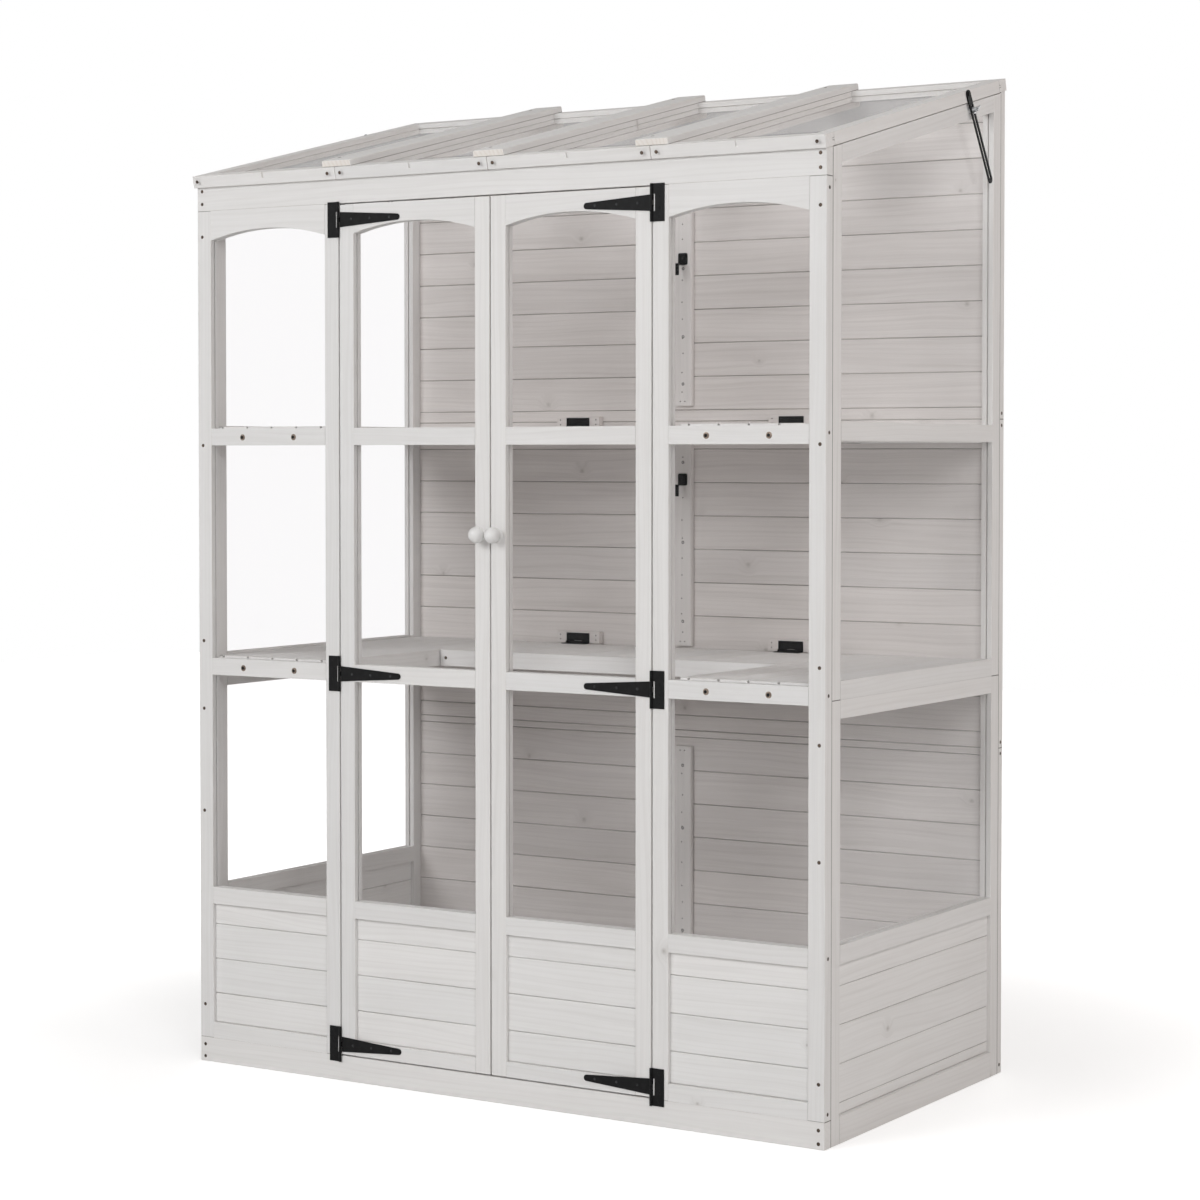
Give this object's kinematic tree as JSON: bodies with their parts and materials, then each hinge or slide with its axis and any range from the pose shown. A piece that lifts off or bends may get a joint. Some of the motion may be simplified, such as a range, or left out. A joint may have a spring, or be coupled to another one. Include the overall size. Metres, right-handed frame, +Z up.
{
  "type": "lean-to greenhouse",
  "caption": "White wooden lean-to greenhouse: glazed front with double doors, lifting glazed roof on slotted stays, boarded back, side shelves and folding middle shelves.",
  "frame": {"origin": "centre of the whole box on the ground", "axes": "+X along the front to the right, +Y from the front to the back wall, +Z up"},
  "size_m": [1.4786, 0.8076, 2.0045],
  "materials": {
    "white_wood": "white stain, grain showing",
    "clear_sheet": "clear acrylic sheet",
    "black_metal": "satin black paint",
    "zinc_steel": "zinc plated",
    "white_knob": "white paint"
  },
  "bodies": {
    "frame": {"front_sill": "white_wood", "front_header": "white_wood", "shelf_bolts": "zinc_steel", "back_frame": "white_wood", "back_boards": "white_wood", "back_battens": "white_wood", "shelf_hinge_blocks": "white_wood", "shelf_hinge_wall_leaves": "black_metal", "latch_screws": "black_metal", "roof_hinge_back_leaves": "black_metal", "left_front_panel_frame": "white_wood", "left_front_panel_boards": "white_wood", "left_front_panel_panes": "clear_sheet", "left_door_hinge_plates": "black_metal", "left_side_frame": "white_wood", "left_side_boards": "white_wood", "left_side_panes": "clear_sheet", "left_lower_side_shelf": "white_wood", "left_upper_side_shelf": "white_wood", "right_front_panel_frame": "white_wood", "right_front_panel_boards": "white_wood", "right_front_panel_panes": "clear_sheet", "right_door_hinge_plates": "black_metal", "right_side_frame": "white_wood", "right_side_boards": "white_wood", "right_side_panes": "clear_sheet", "right_lower_side_shelf": "white_wood", "right_upper_side_shelf": "white_wood"},
    "left_door": {"left_door_frame": "white_wood", "left_door_boards": "white_wood", "left_door_panes": "clear_sheet", "left_door_knob": "white_knob", "left_door_hinge_straps": "black_metal"},
    "right_door": {"right_door_frame": "white_wood", "right_door_boards": "white_wood", "right_door_panes": "clear_sheet", "right_door_knob": "white_knob", "right_door_hinge_straps": "black_metal"},
    "roof": {"roof_sash_1_frame": "white_wood", "roof_sash_2_frame": "white_wood", "roof_sash_3_frame": "white_wood", "roof_sash_4_frame": "white_wood", "roof_panes": "clear_sheet", "roof_cover_battens": "white_wood", "roof_hinge_sash_leaves": "black_metal"},
    "left_stay_clamp": {"left_stay_bolt": "zinc_steel", "left_stay_wing_nut": "zinc_steel"},
    "left_stay": {"left_stay_bar": "black_metal"},
    "right_stay_clamp": {"right_stay_bolt": "zinc_steel", "right_stay_wing_nut": "zinc_steel"},
    "right_stay": {"right_stay_bar": "black_metal"},
    "lower_middle_shelf": {"lower_middle_shelf_frame": "white_wood", "lower_middle_shelf_slats": "white_wood", "lower_middle_shelf_hinge_leaves": "black_metal"},
    "lower_latch": {"lower_latch": "black_metal"},
    "upper_middle_shelf": {"upper_middle_shelf_frame": "white_wood", "upper_middle_shelf_slats": "white_wood", "upper_middle_shelf_hinge_leaves": "black_metal"},
    "upper_latch": {"upper_latch": "black_metal"}
  },
  "joints": [
    {"name": "left_door_hinge", "type": "hinge", "parent": "frame", "child": "left_door", "pos_m": [-0.36, -0.3708, 0.81], "axis": [0, 0, -1], "range_deg": [0, 165]},
    {"name": "right_door_hinge", "type": "hinge", "parent": "frame", "child": "right_door", "pos_m": [0.36, -0.3708, 0.81], "axis": [0, 0, 1], "range_deg": [0, 165]},
    {"name": "roof_hinge", "type": "hinge", "parent": "frame", "child": "roof", "pos_m": [0, 0.4012, 1.96886], "axis": [-1, 0, 0], "range_deg": [0, 48]},
    {"name": "left_stay_swing", "type": "hinge", "parent": "frame", "child": "left_stay_clamp", "pos_m": [-0.7245, 0.23097, 1.91284], "axis": [-1, 0, 0], "range_deg": [0, 41.13]},
    {"name": "left_stay_slide", "type": "slide", "parent": "left_stay_clamp", "child": "left_stay", "axis": [0, -0.5519, 0.8339], "range_m": [0, 0.14597]},
    {"name": "right_stay_swing", "type": "hinge", "parent": "frame", "child": "right_stay_clamp", "pos_m": [0.7245, 0.23097, 1.91284], "axis": [-1, 0, 0], "range_deg": [0, 41.13]},
    {"name": "right_stay_slide", "type": "slide", "parent": "right_stay_clamp", "child": "right_stay", "axis": [0, -0.5519, 0.8339], "range_m": [0, 0.14597]},
    {"name": "lower_shelf_fold", "type": "hinge", "parent": "frame", "child": "lower_middle_shelf", "pos_m": [0, 0.3522, 0.836], "axis": [-1, 0, 0], "range_deg": [0, 90]},
    {"name": "upper_shelf_fold", "type": "hinge", "parent": "frame", "child": "upper_middle_shelf", "pos_m": [0, 0.3522, 1.30302], "axis": [-1, 0, 0], "range_deg": [0, 90]},
    {"name": "lower_latch_turn", "type": "hinge", "parent": "frame", "child": "lower_latch", "pos_m": [0, 0.3582, 1.1915], "axis": [0, 1, 0], "range_deg": [-90, 90]},
    {"name": "upper_latch_turn", "type": "hinge", "parent": "frame", "child": "upper_latch", "pos_m": [0, 0.3582, 1.65852], "axis": [0, 1, 0], "range_deg": [-90, 90]}
  ],
  "couplings": [
    {"joint": "left_stay_swing", "follows": "roof_hinge", "ratio": 0.85272},
    {"joint": "left_stay_slide", "follows": "roof_hinge", "m_per_rad": 0.17364},
    {"joint": "right_stay_swing", "follows": "roof_hinge", "ratio": 0.85272},
    {"joint": "right_stay_slide", "follows": "roof_hinge", "m_per_rad": 0.17364}
  ]
}
